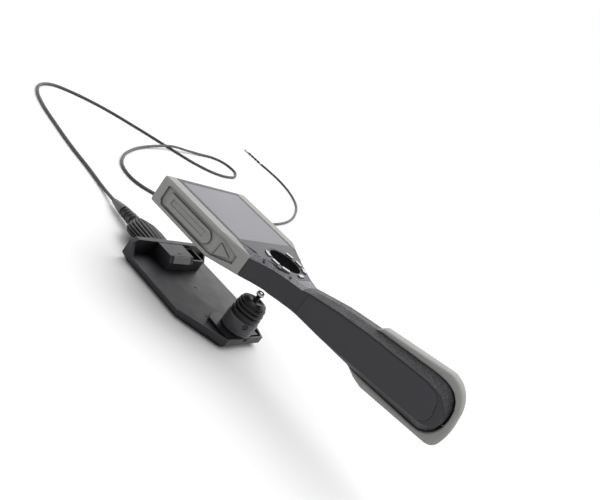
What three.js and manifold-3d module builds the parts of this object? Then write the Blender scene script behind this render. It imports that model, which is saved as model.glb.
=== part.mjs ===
// Inspection camera: a paddle-shaped display unit held over its detached probe module,
// whose long insertion tube lies coiled on the floor. Millimetres, +Z up, floor at z = 0.
// +X is the display's right, +Y its top end; the handle runs towards -Y.
// Every piece is drawn with y = 0 at the display's top end, then moved by ORIGIN_Y.
import * as THREE from 'three';
import { mergeVertices } from 'three/addons/utils/BufferGeometryUtils.js';
import Module from 'manifold-3d';

const wasm = await Module();
wasm.setup();

// ---- driving dimensions ----
const GAP = 0.3;
const FRONT_Z = 105; // display front plane above the floor
const ORIGIN_Y = 127.44; // puts the origin under the middle of the rigid pieces
const HEAD_HALF = 71.5; // half width over the side bumpers
const CORNER_Y = -91; // where the bumpers turn in towards the neck
const NECK_Y = -122; // where the bumpers end and the neck begins
const BEZEL_END = -172; // where the bezel meets the grip
const HANDLE_END = -349.5;
const WELL = { x: 0, y: -130, r: 19, wall: 1.3 };
const GLASS_T = 1.5;
const SCREW_HOLE_R = 1.6;
const BAND_HALF = 9; // half width of the bumper round the handle's end
const GRIP_TILT = 6; // degrees by which the handle rises towards its end
const BATTERY_AT = { y: -250, z: -3.4 };
const TRAY_TOP = 10;
const TRAY_EDGE = 6; // height of the chamfer under the tray's edge
const WALL = { t: 6, top: 27.5 };
const STICK = { x: 0, y: -130, turretR: 18, screwTurn: 52 };
const TUBE_R = 2.25;
const TUBE_REST = TUBE_R + 0.05; // height of the lying tube's centreline
const BOOT_START = [-18, 0.3, 18.5];
const SLEEVE_END = [3, 103, 6.5];

// ---- shape helpers ----
function toManifold(geometry) {
  let g = geometry.index ? geometry.clone() : geometry;
  g.deleteAttribute('normal');
  g.deleteAttribute('uv');
  g = mergeVertices(g, 1e-4);
  const mesh = new wasm.Mesh({
    numProp: 3,
    vertProperties: new Float32Array(g.attributes.position.array),
    triVerts: new Uint32Array(g.index.array),
  });
  return new wasm.Manifold(mesh);
}

function joined(...shapes) {
  return shapes.reduce((a, b) => a.add(b));
}

function cut(shape, ...tools) {
  return tools.reduce((a, b) => a.subtract(b), shape);
}

function shapeOf(outline) {
  return new THREE.Shape(outline.map(([a, b]) => new THREE.Vector2(a, b)));
}

// Outline given as [x, y], raised from z0 to z1 (heights measured from the display front plane).
function slab(outline, z0, z1) {
  const g = new THREE.ExtrudeGeometry(shapeOf(outline), { depth: z1 - z0, bevelEnabled: false });
  g.translate(0, 0, z0);
  return toManifold(g);
}

// Outline given as [y, z], running from x0 to x1.
function sideSlab(outline, x0, x1) {
  const g = new THREE.ExtrudeGeometry(shapeOf(outline), { depth: Math.abs(x1 - x0), bevelEnabled: false });
  g.translate(0, 0, Math.min(x0, x1));
  const turn = new THREE.Matrix4().set(0, 0, 1, 0, 1, 0, 0, 0, 0, 1, 0, 0, 0, 0, 0, 1);
  g.applyMatrix4(turn);
  return toManifold(g);
}

function block(x0, x1, y0, y1, z0, z1) {
  const g = new THREE.BoxGeometry(Math.abs(x1 - x0), Math.abs(y1 - y0), Math.abs(z1 - z0));
  g.translate((x0 + x1) / 2, (y0 + y1) / 2, (z0 + z1) / 2);
  return toManifold(g);
}

// Upright cylinder or cone between two heights.
function post(x, y, z0, z1, r, rTop = r, sides = 32) {
  const g = new THREE.CylinderGeometry(rTop, r, z1 - z0, sides);
  g.rotateX(Math.PI / 2);
  g.translate(x, y, (z0 + z1) / 2);
  return toManifold(g);
}

// Profile of [radius, z] pairs turned about an upright axis; both ends lie on the axis or it is closed.
function turned(profile, x, y, sides = 32) {
  const points = profile.map(([r, z]) => new THREE.Vector2(r, z));
  const g = new THREE.LatheGeometry(points, sides);
  g.rotateX(Math.PI / 2);
  g.translate(x, y, 0);
  return toManifold(g);
}

// Skin over matching rings of points, with a flat cap on the first and the last.
function loft(rings, capAxes = [0, 2]) {
  const count = rings[0].length;
  const points = rings.flat();
  const index = [];
  for (let r = 0; r + 1 < rings.length; r += 1) {
    for (let i = 0; i < count; i += 1) {
      const a = r * count + i;
      const b = r * count + ((i + 1) % count);
      index.push(a, b, a + count, b, b + count, a + count);
    }
  }
  const onCap = (p) => new THREE.Vector2(p[capAxes[0]], p[capAxes[1]]);
  const flat = rings[0].map(onCap);
  const last = rings[rings.length - 1].map(onCap);
  const base = (rings.length - 1) * count;
  index.push(...capTriangles(flat, true).flat());
  index.push(...capTriangles(last, false).flat().map((i) => base + i));
  const g = new THREE.BufferGeometry();
  g.setAttribute('position', new THREE.Float32BufferAttribute(points.flat(), 3));
  g.setIndex(index);
  const made = toManifold(g);
  return made.volume() < 0 ? toManifold(flipped(g)) : made;
}

// Triangles over a ring, wound with it or against it.
function capTriangles(ring, against) {
  const clockwise = THREE.ShapeUtils.area(ring) < 0;
  const triangles = THREE.ShapeUtils.triangulateShape(ring, []);
  return triangles.map(([a, b, c]) => (clockwise === against ? [a, b, c] : [a, c, b]));
}

function flipped(geometry) {
  const index = geometry.index.array;
  const turnedOver = [];
  for (let i = 0; i < index.length; i += 3) {
    turnedOver.push(index[i], index[i + 2], index[i + 1]);
  }
  const g = geometry.clone();
  g.setIndex(turnedOver);
  return g;
}

function mirrored(outline) {
  return outline.map(([x, y]) => [-x, y]).reverse();
}

function symmetric(half) {
  return [...half, ...mirrored(half)];
}

// Value at y read from a list of [y, value] pairs that runs towards -Y.
function along(table, y) {
  const last = table.length - 1;
  if (y >= table[0][0]) {
    return table[0][1];
  }
  for (let i = 0; i < last; i += 1) {
    const [ya, a] = table[i];
    const [yb, b] = table[i + 1];
    if (y <= ya && y >= yb) {
      return a + ((b - a) * (y - ya)) / (yb - ya);
    }
  }
  return table[last][1];
}

// ---- outlines of the display unit, as [y, value] along its length ----
const HALF_WIDTH = [
  [0, 55.7], [-103, 55.7], [NECK_Y + 0.3, 51.3], [NECK_Y - 0.3, 52.4], [-133, 39.3], [-142, 30.4], [-159, 23],
  [-172, 18.7], [-182, 17], [-336, 17], [-343, 16], [-347.5, 13.5], [HANDLE_END, 10.5],
];
const UNDERSIDE = [
  [0, -30.5], [CORNER_Y, -30.5], [NECK_Y, -27.5], [-149, -28.2], [-176, -26.8], [-224, -26], [-254, -26.3],
  [-330, -22.5], [-337, -21.3], [-343, -18], [-347.5, -12], [HANDLE_END, -6],
];
const SEAM = [
  [0, -4.3], [-103, -4.3], [NECK_Y, -6.3], [-133, -5.3], [-142, -5], [-159, -3.9], [-172, -3.3], [-180, -0.5],
  [-213, 6.3], [-250, 12], [-318, 18.5], [-330, 17.8], [-337, 15], [-343, 10.5], [-347.5, 5.5],
  [HANDLE_END, 0],
];
const TOP = [
  [0, 0], [-172, 0], [-180, 2.6], [-213, 11.5], [-250, 18], [-318, 27], [-330, 27], [-337, 24.6], [-343, 20],
  [-347.5, 13], [HANDLE_END, 6],
];
const BACK_BEVEL = [
  [0, 0.6], [-103, 0.6], [-139, 2], [-216, 2], [-254, 6], [-325, 8.5], [-343, 7], [HANDLE_END, 4],
];
const RIM = [[0, 0.5], [-101, 0.5], [-118, 9.5], [-135, 6.5], [-150, 6], [-172, 9]];
const GLASS = symmetric([[54.4, -2], [54.4, -101], [44, -118], [31.5, -135], [21.5, -150], [13, -160]]);
const KEYS = [
  ['key_left_upper', 155], ['key_left_middle', 187], ['key_left_lower', 218], ['key_bottom', 270],
  ['key_right_lower', 322], ['key_right_middle', 353], ['key_right_upper', 25],
];
const KEY = { r0: 22.2, r1: 26.4, sweep: 21, top: 1.2, bottom: -3 };

// ---- outlines on the side bumpers ----
// [y, z] on the flat side; [minus the distance from the corner, z] on the slant beside the neck
const SLANT_TURN = -31.4; // degrees from the side face to the slanted one
const RECESS_DEPTH = 2;
const RECESS = [[-10, -6], [-14, -4.5], [-94, -4.5], [-94, -26.5], [-14, -26.5], [-10, -22]];
const SLANT_RECESS = [[2, -4.5], [-6, -4.5], [-26, -12.3], [-26, -21.5], [-4, -26.5], [2, -26.5]];
const FLAP = [[-18, -8.5], [-80, -8.5], [-84.5, -12], [-86, -16], [-84.5, -20], [-80, -23.5], [-18, -23.5]];
const BUTTON = [[-6.7, -10], [-20.5, -18.5], [-5.7, -24.5]];
const TRAY_PLAN = symmetric([[63, 0], [63, -98], [33, -148]]);

const SIDES = [-1, 1];
const bezelScrewPlaces = [[-39.2, -130], [39.2, -130], [-21.3, -155], [21.3, -155]];
const rearScrewPlaces = [[-45, -84], [45, -84]];
const trayScrewPlaces = [[0, -62], [-26, -109]];

// Outline moved outwards by d (inwards when negative), corner by corner.
function grown(outline, d) {
  const turn = Math.sign(THREE.ShapeUtils.area(outline.map(([a, b]) => new THREE.Vector2(a, b))));
  return outline.map(([x, y], i) => {
    const [px, py] = outline[(i + outline.length - 1) % outline.length];
    const [nx, ny] = outline[(i + 1) % outline.length];
    const before = new THREE.Vector2(y - py, px - x).normalize().multiplyScalar(turn);
    const after = new THREE.Vector2(ny - y, x - nx).normalize().multiplyScalar(turn);
    const out = before.clone().add(after);
    out.multiplyScalar(d / (1 + before.dot(after)));
    return [x + out.x, y + out.y];
  });
}

// Outline through [a, b, radius] corners, each rounded by an arc of that radius.
function rounded(corners) {
  const steps = 5;
  return corners.flatMap(([x, y, r], i) => {
    const [px, py] = corners[(i + corners.length - 1) % corners.length];
    const [nx, ny] = corners[(i + 1) % corners.length];
    if (!r) {
      return [[x, y]];
    }
    const corner = new THREE.Vector2(x, y);
    const back = new THREE.Vector2(px - x, py - y).normalize();
    const ahead = new THREE.Vector2(nx - x, ny - y).normalize();
    const reach = r / Math.tan(Math.acos(back.dot(ahead)) / 2);
    const bend = new THREE.QuadraticBezierCurve(
      corner.clone().addScaledVector(back, reach),
      corner,
      corner.clone().addScaledVector(ahead, reach),
    );
    return bend.getPoints(steps).map((p) => [p.x, p.y]);
  });
}

// Key cap: a stretch of the ring round the well, centred on an angle in degrees.
function keyOutline(middle) {
  const steps = 4;
  const arc = (r) => Array.from({ length: steps + 1 }, (_, i) => {
    const a = THREE.MathUtils.degToRad(middle + KEY.sweep * (i / steps - 0.5));
    return [WELL.x + r * Math.cos(a), WELL.y + r * Math.sin(a)];
  });
  return [...arc(KEY.r1), ...arc(KEY.r0).reverse()];
}

function stations(...tables) {
  const ys = new Set(tables.flat().map(([y]) => y));
  return [...ys].sort((a, b) => b - a);
}

// ---- the assembly ----
const group = new THREE.Group();
group.name = 'inspection_camera';

function addNode(name, shape, color, lift) {
  const mesh = shape.getMesh();
  const g = new THREE.BufferGeometry();
  g.setAttribute('position', new THREE.BufferAttribute(new Float32Array(mesh.vertProperties), 3));
  g.setIndex(new THREE.BufferAttribute(new Uint32Array(mesh.triVerts), 1));
  g.translate(0, ORIGIN_Y, lift);
  g.computeVertexNormals();
  const node = new THREE.Mesh(g, new THREE.MeshStandardMaterial({ color, flatShading: true }));
  node.name = name;
  group.add(node);
}

const addToDisplay = (name, shape, color) => addNode(name, shape, color, FRONT_Z);
const addToModule = (name, shape, color) => addNode(name, shape, color, 0);

// ---- display unit: housing ----
const COLOR = {
  smooth: 0x3a3a3d, texture: 0x4d4d4f, rim: 0x7d7c80, bumper: 0xa0a09c, flap: 0x8f8f8c, glass: 0x58575c,
  lcd: 0x9e9da4, board: 0x1f4a35, metal: 0xc0c0c4, black: 0x18181a, battery: 0x2a2f3a,
};

function housingRing(y, inset) {
  const h = along(HALF_WIDTH, y) - inset;
  const back = along(UNDERSIDE, y) + inset;
  const edge = Math.max(0.4, along(BACK_BEVEL, y) - inset / 2);
  const seam = along(SEAM, y) + (inset > 0 ? 9 : 0);
  const left = [[-h, y, seam], [-h, y, back + edge], [-h + edge, y, back]];
  return [...left, [h - edge, y, back], [h, y, back + edge], [h, y, seam]];
}

function housingBody(from, to, inset) {
  const ys = stations(HALF_WIDTH, UNDERSIDE, SEAM, BACK_BEVEL).filter((y) => y < from && y > to);
  return loft([from, ...ys, to].map((y) => housingRing(y, inset)));
}

// Room for the module's end wall, its connectors and its corner ribs when the two halves are docked.
const dockRecess = joined(
  block(-63.5, 63.5, 1, -6.6, -40, -14.6),
  block(-27.7, 34.7, -6, -35.4, -40, -12.9),
  ...SIDES.map((s) => block(s * 59.5, s * 63.5, -6, -16.6, -40, -18.2)),
);
const panelOutline = rounded([
  [-180, -2.5], [-213, 4.8], [-250, 10.8], [-316, 17.4], [-334, 15.5, 11], [-341, -7, 12], [-332, -14.5, 7],
  [-254, -21.5], [-216, -24.4], [-180, -25.2],
]);

function alongHandle(shape) {
  return shape.rotate([-GRIP_TILT, 0, 0]).translate([0, BATTERY_AT.y, BATTERY_AT.z]);
}

function rearHousing() {
  const pockets = SIDES.map((s) => sideSlab(grown(panelOutline, GAP), s * 15.6, s * 21));
  const screwHoles = rearScrewPlaces.map(([x, y]) => post(x, y, -31, -28.4, 3));
  const hollow = housingBody(-2.4, -156, 2.6);
  const surround = joined(block(-55, 55, -1, -9, -29, -12), block(-30.2, 37.2, -8, -37.8, -29, -10.5));
  const shell = joined(cut(housingBody(0, HANDLE_END, 0), hollow), surround);
  const bay = housingBody(-184, -343.5, 2.6);
  const bolster = post(WELL.x, WELL.y, -30, -4.3, WELL.r + 3.6).intersect(housingBody(-104, -156, 0));
  return cut(joined(shell, bolster), dockRecess, bay, ...pockets, ...screwHoles, wellHole());
}

function wellHole() {
  return post(WELL.x, WELL.y, -60, 10, WELL.r + WELL.wall + GAP, WELL.r + WELL.wall + GAP, 40);
}

function bezelRing(y) {
  const h = along(HALF_WIDTH, y);
  const rim = along(RIM, y);
  const edge = along(SEAM, y) + GAP;
  return [[-h, y, edge], [-h + rim, y, 0], [h - rim, y, 0], [h, y, edge]];
}

function bezel() {
  const ys = stations(HALF_WIDTH, SEAM, RIM).filter((y) => y > BEZEL_END && y <= 0);
  const body = loft([...ys, BEZEL_END].map(bezelRing));
  const window = slab(grown(GLASS, GAP), -10, 1);
  const holes = bezelScrewPlaces.map(([x, y]) => post(x, y, -4.4, 2, SCREW_HOLE_R, SCREW_HOLE_R, 16));
  return cut(body, window, ...holes);
}

function gripRing(y) {
  const h = along(HALF_WIDTH, y);
  const seam = along(SEAM, y) + GAP;
  const top = along(TOP, y);
  const flat = Math.max(1.5, h - 9);
  return [
    [-h, y, seam], [-flat, y, top], [flat, y, top], [h, y, seam],
    [h - 2.8, y, seam], [flat - 1, y, top - 2.8], [-flat + 1, y, top - 2.8], [-h + 2.8, y, seam],
  ];
}

function gripFront() {
  const start = BEZEL_END - GAP;
  const ys = stations(HALF_WIDTH, SEAM, TOP).filter((y) => y < start && y > HANDLE_END);
  return loft([start, ...ys, HANDLE_END].map(gripRing));
}

// ---- display unit: side bumpers with their port covers and release buttons ----
const BUMPER_HALF = [[0, HEAD_HALF], [CORNER_Y, HEAD_HALF], [NECK_Y + 0.3, 52.8]];
const BUMPER_FRONT = [[0, 0], [CORNER_Y, 0], [NECK_Y + 0.3, -4.6]];

function bumperRing(y) {
  const inner = along(HALF_WIDTH, y) + GAP;
  const outer = along(BUMPER_HALF, y);
  const brow = Math.max(outer - 1.5, inner + 0.1);
  const front = along(BUMPER_FRONT, y);
  const back = along(UNDERSIDE, y);
  const lip = Math.min(0, front + 0.3 * (outer - inner));
  const side = [[brow, y, front], [outer, y, front - 2], [outer, y, back + 2.5], [brow, y, back]];
  return [[inner, y, lip], ...side, [inner, y, back]];
}

// Shape drawn on the flat side face, moved onto the slanted one beside the neck.
function onSlant(shape) {
  return shape.rotate([0, 0, SLANT_TURN]).translate([HEAD_HALF, CORNER_Y, 0]);
}

function bumper() {
  const floor = HEAD_HALF - RECESS_DEPTH;
  const body = loft([0, CORNER_Y, -103, NECK_Y + 0.3].map(bumperRing));
  const panel = sideSlab(RECESS, floor, floor + 8);
  const slant = onSlant(sideSlab(SLANT_RECESS, -RECESS_DEPTH, 6));
  const ports = block(59.5, floor + 1, -26, -74, -20, -11);
  const seat = onSlant(sideSlab(grown(BUTTON, GAP), -5.4, 6));
  return cut(body, panel, slant, ports, seat, dockRecess);
}

function portCover() {
  const plate = sideSlab(FLAP, HEAD_HALF - 1.7, HEAD_HALF);
  return cut(plate, block(HEAD_HALF - 0.7, HEAD_HALF + 1, -24, -76, -18.5, -12.5));
}

function releaseButton() {
  return onSlant(sideSlab(BUTTON, -3.8, -0.8));
}

function portShell() {
  const body = block(59.8, 68, -26.3, -73.7, -19.7, -11.3);
  return cut(body, block(62.5, 71.5, -29, -42, -17.5, -13.5), block(62.5, 71.5, -49, -71, -17.8, -13.2));
}

function mirroredX(shape) {
  return shape.mirror([1, 0, 0]);
}

function addSides() {
  SIDES.forEach((s) => {
    const name = s < 0 ? 'left' : 'right';
    const sided = (shape) => (s < 0 ? mirroredX(shape) : shape);
    addToDisplay(`bumper_${name}`, sided(bumper()), COLOR.bumper);
    addToDisplay(`port_cover_${name}`, sided(portCover()), COLOR.flap);
    addToDisplay(`release_button_${name}`, sided(releaseButton()), COLOR.flap);
    addToDisplay(`port_block_${name}`, sided(portShell()), COLOR.metal);
    addToDisplay(`grip_panel_${name}`, sided(sideSlab(panelOutline, 15.9, 17.1)), COLOR.smooth);
  });
}

// ---- display unit: screen, keys and boards ----
function screenGlass() {
  const keyHoles = KEYS.map(([, angle]) => slab(grown(keyOutline(angle), GAP), -5, 5));
  return cut(slab(GLASS, -GLASS_T, 0), wellHole(), ...keyHoles);
}

function addScreen() {
  addToDisplay('screen_glass', screenGlass(), COLOR.glass);
  addToDisplay('lcd_panel', block(-49, 49, -7, -99, -5.5, -1.8), COLOR.lcd);
  KEYS.forEach(([name, angle]) => {
    addToDisplay(name, slab(keyOutline(angle), KEY.bottom, KEY.top), COLOR.metal);
  });
  const liner = cut(
    post(WELL.x, WELL.y, -23.5, -0.2, WELL.r + WELL.wall, WELL.r + WELL.wall, 40),
    post(WELL.x, WELL.y, -30, 5, WELL.r, WELL.r, 40),
  );
  addToDisplay('joystick_well', liner, COLOR.black);
  const chips = joined(block(-30, -8, -50, -72, -9.9, -8.2), block(8, 26, -52, -68, -9.9, -8.4));
  addToDisplay('main_board', joined(block(-48, 48, -40, -104, -11.6, -9.9), chips), COLOR.board);
  addToDisplay('dock_contacts', block(-20, 20, -12, -26, -14.4, -13.2), COLOR.metal);
}

function addScrews() {
  const r = SCREW_HOLE_R - GAP;
  bezelScrewPlaces.forEach(([x, y], i) => {
    addToDisplay(`bezel_screw_${i + 1}`, post(x, y, -3.8, -1.9, r, r, 12), COLOR.metal);
  });
  rearScrewPlaces.forEach(([x, y], i) => {
    addToDisplay(`rear_screw_${i + 1}`, screwHead(x, y, -30.2, -28.7, 2.7), COLOR.metal);
  });
}

// Round head with a hexagon socket sunk into its lower face.
function screwHead(x, y, z0, z1, r) {
  return cut(post(x, y, z0, z1, r, r, 20), post(x, y, z0 - 1, (z0 + z1) / 2, r * 0.45, r * 0.45, 6));
}

// ---- display unit: battery, and the bumper round the handle's end ----
// Outer edge of the band round the handle's end, as [y, z, corner radius].
const BAND_OUTSIDE = [
  [-250, 17.6], [-255.5, 24], [-329, 37, 14], [-344, 33.5, 28], [-354.5, 17, 38], [-359.5, -8, 60],
  [-356.5, -27.5, 11], [-273, -35.5], [-262, -33], [-250, -27],
];

// The handle's own outline with a gap round it, left open towards the head.
function handleRoom() {
  const from = -240;
  const ys = stations(TOP, UNDERSIDE).filter((y) => y < from);
  const front = [from, ...ys].map((y) => [y, along(TOP, y)]);
  const back = [from, ...ys].map((y) => [y, along(UNDERSIDE, y)]).reverse();
  return grown([...front, ...back], 0.5);
}

function endBumper() {
  const outside = rounded(BAND_OUTSIDE);
  const wide = sideSlab(outside, -BAND_HALF + 3, BAND_HALF - 3);
  const narrow = sideSlab(grown(outside, -2.5), -BAND_HALF, BAND_HALF);
  return cut(joined(wide, narrow), sideSlab(handleRoom(), -20, 20));
}

function addBattery() {
  addToDisplay('end_bumper', endBumper(), COLOR.bumper);
  addToDisplay('battery_pack', alongHandle(block(-12, 12, 22, -84, -9, 9)), COLOR.battery);
  addToDisplay('battery_contacts', alongHandle(block(-8, 8, 22.5, 25, -5, 5)), COLOR.metal);
}

// ---- probe module: tray, end wall and connectors ----
function tray() {
  const plate = slab(TRAY_PLAN, TRAY_EDGE, TRAY_TOP);
  const ring = (outline, z) => outline.map(([x, y]) => [x, y, z]);
  const under = loft([ring(grown(TRAY_PLAN, -TRAY_EDGE), 0), ring(TRAY_PLAN, TRAY_EDGE)], [0, 1]);
  const turretRoom = post(STICK.x, STICK.y, 0, 30, STICK.turretR + 0.4, STICK.turretR + 0.4, 40);
  const lipBand = cut(slab(TRAY_PLAN, 9, 20), slab(grown(TRAY_PLAN, -2.5), 0, 30), turretRoom);
  const lipWedge = sideSlab([[-98, 8], [-148, 8], [-148, 14], [-98, 11]], -70, 70);
  const wallOutline = [[-63, 9], [63, 9], [63, 22], [57, WALL.top], [-57, WALL.top], [-63, 22]];
  const wall = loft([0, -WALL.t].map((y) => wallOutline.map(([x, z]) => [x, y, z])));
  const gussets = SIDES.map((s) => sideSlab([[-5, 9], [-5, 24], [-16, 9]], s * 60, s * 63));
  const holes = trayScrewPlaces.map(([x, y]) => post(x, y, 8, 12, 1.9, 1.9, 16));
  return cut(joined(plate, under, lipBand.intersect(lipWedge), wall, ...gussets), ...holes);
}

function addConnectors() {
  const profile = [[-6.3, 10.3], [-6.3, 27.2], [-29, 27.2], [-33, 20], [-33, 10.3]];
  const slot = block(-10, -4, -24, -25.2, 26.2, 28);
  addToModule('connector_block', cut(sideSlab(profile, -27, 14), slot), COLOR.smooth);
  const face = [[-29.4, 27.1], [-30.2, 27.1], [-33.9, 20.2], [-33.3, 20.2]];
  addToModule('connector_plate', sideSlab(face, -21, 8), COLOR.flap);
  const shell = block(14.3, 34, -6.3, -31, 10.3, 24);
  addToModule('connector_socket', cut(shell, block(16.5, 31.8, -8.5, -28.8, 14, 30)), COLOR.black);
  const pinRows = [-13, -18, -23].map((y) => block(19, 29, y, y - 1.6, 15.5, 20));
  addToModule('socket_pins', joined(block(18, 30, -11, -26.6, 14.3, 16), ...pinRows), COLOR.metal);
}

// ---- probe module: joystick ----
// Solid drawn upright on the axis, turned to point out through the turret's side.
function onTurretSide(shape) {
  return shape.rotate([0, -90, 0]).rotate([0, 0, STICK.screwTurn]).translate([STICK.x, STICK.y, 26.8]);
}

// Thin dome of rising folds, open at the top where the stalk comes through.
function bellows() {
  const ridges = [
    [17.2, 31.3], [17.2, 34.4], [16.8, 35.4], [17, 38.8], [16.2, 39.8], [16, 43],
    [14.6, 44], [14.2, 46.8], [12, 47.8], [11, 50], [8.2, 51], [4.6, 51.8],
  ];
  const skin = 1.3;
  const inside = ridges.slice(0, -1).map(([r, z], i) => [r - skin, z - (i > 1 ? 1 : 0)]);
  return [...ridges, [4.6, 50.6], ...inside.reverse(), ridges[0]];
}

function addJoystick() {
  const at = (profile, sides) => turned(profile, STICK.x, STICK.y, sides);
  const foot = slab(symmetric([[17, -105], [28, -112], [30, -143]]), 10.3, 13.5);
  addToModule('joystick_base', foot, COLOR.black);
  const outer = [[0, 13.8], [17.3, 13.8], [STICK.turretR, 14.8], [STICK.turretR, 30.2], [17.4, 31]];
  const turret = at([...outer, [15, 31], [15, 19], [0, 19]], 40);
  addToModule('joystick_turret', cut(turret, onTurretSide(post(0, 0, 16.5, 19.5, 3, 3, 16))), COLOR.black);
  addToModule('turret_screw', onTurretSide(post(0, 0, 16.8, 17.7, 2.4, 2.4, 12)), COLOR.metal);
  addToModule('gimbal_ring', at([[8, 25], [10.5, 25], [10.5, 28], [8, 28], [8, 25]], 32), COLOR.metal);
  addToModule('bellows', at(bellows(), 32), COLOR.black);
  const ball = [[0, 21.5], [3.5, 22.9], [5, 26.5], [3.8, 29.8]];
  const rod = [[2.8, 31], [2.8, 46], [2.4, 57.9], [0, 57.9]];
  addToModule('joystick_stalk', at([...ball, ...rod], 24), COLOR.black);
  const cap = [[0, 58.2], [3.8, 58.2], [4.6, 59.4], [4.6, 61.2], [3.4, 63], [0, 63.8]];
  addToModule('joystick_cap', at(cap, 24), COLOR.metal);
}

// ---- probe module: strain relief ----
const EXIT_FROM = new THREE.Vector3(...BOOT_START);
const EXIT_TO = new THREE.Vector3(...SLEEVE_END);
const EXIT_LENGTH = EXIT_FROM.distanceTo(EXIT_TO);
const EXIT_DIR = EXIT_TO.clone().sub(EXIT_FROM).normalize();
const NECK_FROM = 46.3;
const SLEEVE_FROM = 78.6;

// Oval ring of points across the strain relief, a wide and b high, t millimetres from the wall.
function reliefRing(t, a, b, sides) {
  const centre = EXIT_FROM.clone().addScaledVector(EXIT_DIR, t);
  const square = t < 1 ? new THREE.Vector3(0, 1, 0) : EXIT_DIR;
  const across = new THREE.Vector3(square.y, -square.x, 0).normalize();
  const up = new THREE.Vector3().crossVectors(across, square);
  const ring = [];
  for (let i = 0; i < sides; i += 1) {
    const angle = (2 * Math.PI * i) / sides;
    const p = centre.clone().addScaledVector(across, a * Math.cos(angle));
    ring.push(p.addScaledVector(up, b * Math.sin(angle)).toArray());
  }
  return ring;
}

function relief(steps, sides) {
  return loft(steps.map(([t, a, b]) => reliefRing(t, a, b, sides)));
}

function neckSteps() {
  const pitch = 6.4;
  const steps = [];
  for (let i = 0; i < 5; i += 1) {
    const t = NECK_FROM + i * pitch;
    const r = 8.2 - i * 0.3;
    steps.push([t, r, r], [t + 3.6, r, r], [t + 4.3, r - 1.4, r - 1.4], [t + pitch - 0.7, r - 1.5, r - 1.5]);
  }
  return steps;
}

function addStrainRelief() {
  // [distance from the wall, half width, half height]
  const dome = [
    [0, 22, 8.6], [12, 23.5, 9.8], [24, 24, 10.6], [34, 22, 10.8], [41, 16.5, 10.2], [46, 9.6, 9.2],
  ];
  addToModule('boot', relief(dome, 24), COLOR.black);
  addToModule('boot_neck', relief(neckSteps(), 16), COLOR.black);
  const sleeve = [[SLEEVE_FROM, 6.6, 6.6], [SLEEVE_FROM + 3, 6.6, 6.6], [EXIT_LENGTH, 3.1, 3.1]];
  addToModule('sleeve', relief(sleeve, 16), COLOR.flap);
}

// ---- insertion tube and its bending tip ----
const TIP = { x: 728, y: 421 };
const LINK = { count: 4, length: 10.2, gap: 0.4, r: 2.15, cone: 1.3 };
const HEAD = { length: 14, lensR: 1.5, windowR: 1.2 };
const COLLAR_LENGTH = 6; // steel ring that ends the tube
// The lying tube's route as [x, y], with a height where it leaves the floor: it starts at the sleeve
// and passes over itself once in a long low hump.
const ROUTE = [
  [11, 134, 3.1], [19, 178, 2.4], [26, 235], [36, 290], [48, 345], [64, 388], [90, 424], [128, 444],
  [172, 439], [222, 417], [272, 377], [319, 333], [354, 302], [394, 284], [440, 282],
  [482, 295], [508, 322], [500, 347], [468, 356, 2.4], [424, 351, 2.8], [372, 343, 4.8], [319, 333, 7.8],
  [268, 320, 4.8], [226, 305, 2.7], [178, 280, 2.4], [134, 248], [105, 212], [100, 178], [118, 153],
  [156, 140], [230, 130], [330, 124], [430, 133], [520, 158], [600, 197], [665, 243],
  [710, 298], [730, 350], [731, 390], [TIP.x, TIP.y - COLLAR_LENGTH - 2 * GAP],
];

function insertionTube() {
  const start = EXIT_TO.clone().addScaledVector(EXIT_DIR, GAP);
  const points = [start, ...ROUTE.map(([x, y, z = TUBE_REST]) => new THREE.Vector3(x, y, z))];
  const path = new THREE.CatmullRomCurve3(points, false, 'centripetal');
  const sides = 10;
  const section = [];
  for (let i = 0; i < sides; i += 1) {
    const a = (2 * Math.PI * i) / sides;
    section.push([TUBE_R * Math.cos(a), TUBE_R * Math.sin(a)]);
  }
  return toManifold(new THREE.ExtrudeGeometry(shapeOf(section), { steps: 80, extrudePath: path }));
}

// Solid drawn upright, laid down at the end of the tube so that its height runs along +Y.
function laidAtTip(shape) {
  return shape.rotate([-90, 0, 0]).translate([TIP.x, 0, TUBE_REST]);
}

// Barrel with coned ends, so that it can tilt against its neighbours.
function link(y0, y1) {
  const { r, cone } = LINK;
  return laidAtTip(turned([[0, y0], [1, y0], [r, y0 + cone], [r, y1 - cone], [1, y1], [0, y1]], 0, 0, 16));
}

function addTip() {
  const collar = post(0, 0, TIP.y - GAP - COLLAR_LENGTH, TIP.y - GAP, TUBE_R, TUBE_R, 20);
  addToModule('tip_collar', laidAtTip(collar), COLOR.metal);
  let y = TIP.y + GAP;
  for (let i = 1; i <= LINK.count; i += 1) {
    addToModule(`bending_link_${i}`, link(y, y + LINK.length), COLOR.metal);
    y += LINK.length + LINK.gap;
  }
  const end = y + HEAD.length;
  const head = turned([[0, y], [1, y], [TUBE_R, y + LINK.cone], [TUBE_R, end], [0, end]], 0, 0, 24);
  const lensSeat = post(0, 0, end - 1.4, end + 2, HEAD.lensR, HEAD.lensR, 20);
  addToModule('camera_head', laidAtTip(cut(head, lensSeat)), COLOR.metal);
  const window = post(0, 0, end - 1.1, end - 0.2, HEAD.windowR, HEAD.windowR, 20);
  addToModule('camera_window', laidAtTip(window), COLOR.glass);
}

addToDisplay('rear_housing', rearHousing(), COLOR.smooth);
addToDisplay('bezel', bezel(), COLOR.rim);
addToDisplay('grip_front', gripFront(), COLOR.texture);
addSides();
addScreen();
addScrews();
addBattery();
addToModule('module_tray', tray(), COLOR.smooth);
trayScrewPlaces.forEach(([x, y], i) => {
  addToModule(`tray_screw_${i + 1}`, post(x, y, 8.3, 9.6, 1.6, 1.6, 12), COLOR.metal);
});
addConnectors();
addJoystick();
addStrainRelief();
addToModule('insertion_tube', insertionTube(), COLOR.texture);
addTip();

export default group;
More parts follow.
